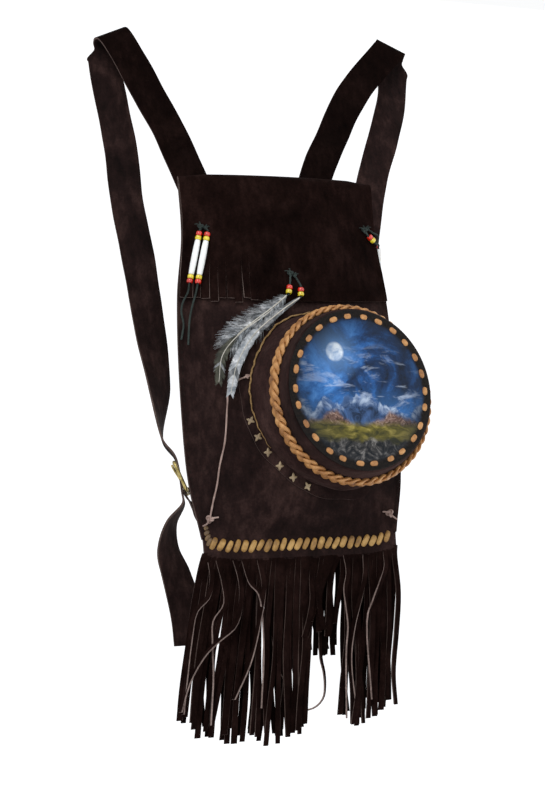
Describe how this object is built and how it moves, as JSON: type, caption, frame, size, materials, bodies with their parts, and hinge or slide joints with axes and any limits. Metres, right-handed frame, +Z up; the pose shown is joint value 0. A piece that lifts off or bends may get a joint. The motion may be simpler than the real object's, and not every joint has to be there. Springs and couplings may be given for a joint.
{
  "type": "beaded medicine bag",
  "caption": "Dark suede shoulder bag with a fringed foot, a flap, a round laced pouch with a painted disc, two buckled straps and beaded ties",
  "frame": {"origin": "where the bag hangs, midway between the crowns of its two shoulder straps", "axes": "+X across the bag to its right as seen from the front, +Y from its front to its back, +Z up"},
  "size_m": [0.3698, 0.1748, 0.7518],
  "materials": {
    "suede": "dark brown suede with a matt nap",
    "tan_lace": "smooth golden tan lace",
    "rawhide": "pinkish raw hide",
    "tie_lace": "grey-green waxed lace",
    "painted_hide": "painted hide under a satin varnish",
    "brass": "polished, lightly worn",
    "red_bead": "opaque red, glossy",
    "yellow_bead": "opaque yellow, glossy",
    "bone_pipe": "white bone-like, satin",
    "feather": "grey and white vane"
  },
  "bodies": {
    "bag": {"front_panel": "suede", "back_panel": "suede", "bottom_lacing": "tan_lace", "pouch_wall": "suede", "pouch_cover": "suede", "pouch_braid": "tan_lace", "picture_disc": "painted_hide", "left_strap": "suede", "left_billet": "suede", "left_buckle_frame": "brass", "right_strap": "suede", "right_billet": "suede", "right_buckle_frame": "brass", "thong": "rawhide", "right_corner_knot": "rawhide"},
    "flap": {"flap": "suede", "left_tie_a_lace": "tie_lace", "left_tie_a_top_red_bead": "red_bead", "left_tie_a_top_yellow_bead": "yellow_bead", "left_tie_a_pipe": "bone_pipe", "left_tie_a_low_yellow_bead": "yellow_bead", "left_tie_a_low_red_bead": "red_bead", "left_tie_b_lace": "tie_lace", "left_tie_b_top_red_bead": "red_bead", "left_tie_b_top_yellow_bead": "yellow_bead", "left_tie_b_pipe": "bone_pipe", "left_tie_b_low_yellow_bead": "yellow_bead", "left_tie_b_low_red_bead": "red_bead", "right_tie_a_lace": "tie_lace", "right_tie_a_top_red_bead": "red_bead", "right_tie_a_top_yellow_bead": "yellow_bead", "right_tie_a_pipe": "bone_pipe", "right_tie_a_low_yellow_bead": "yellow_bead", "right_tie_a_low_red_bead": "red_bead", "right_tie_b_lace": "tie_lace", "right_tie_b_top_red_bead": "red_bead", "right_tie_b_top_yellow_bead": "yellow_bead", "right_tie_b_pipe": "bone_pipe", "right_tie_b_low_yellow_bead": "yellow_bead", "right_tie_b_low_red_bead": "red_bead", "centre_tie_a_lace": "tie_lace", "centre_tie_a_top_red_bead": "red_bead", "centre_tie_a_top_yellow_bead": "yellow_bead", "centre_tie_b_lace": "tie_lace", "centre_tie_b_top_red_bead": "red_bead", "centre_tie_b_top_yellow_bead": "yellow_bead", "wide_feather": "feather", "long_feather": "feather"},
    "left_prong": {"left_buckle_prong": "brass"},
    "right_prong": {"right_buckle_prong": "brass"}
  },
  "joints": [
    {"name": "flap_hinge", "type": "hinge", "parent": "bag", "child": "flap", "pos_m": [0, 0.00105, -0.17], "axis": [-1, 0, 0], "range_deg": [0, 110]},
    {"name": "left_prong_hinge", "type": "hinge", "parent": "bag", "child": "left_prong", "pos_m": [-0.10681, 0.02547, -0.4872], "axis": [-0.3013, -0.9535, -0.0076], "range_deg": [0, 12]},
    {"name": "right_prong_hinge", "type": "hinge", "parent": "bag", "child": "right_prong", "pos_m": [0.08536, 0.02845, -0.48739], "axis": [-0.8533, -0.412, 0.3196], "range_deg": [0, 12]}
  ]
}
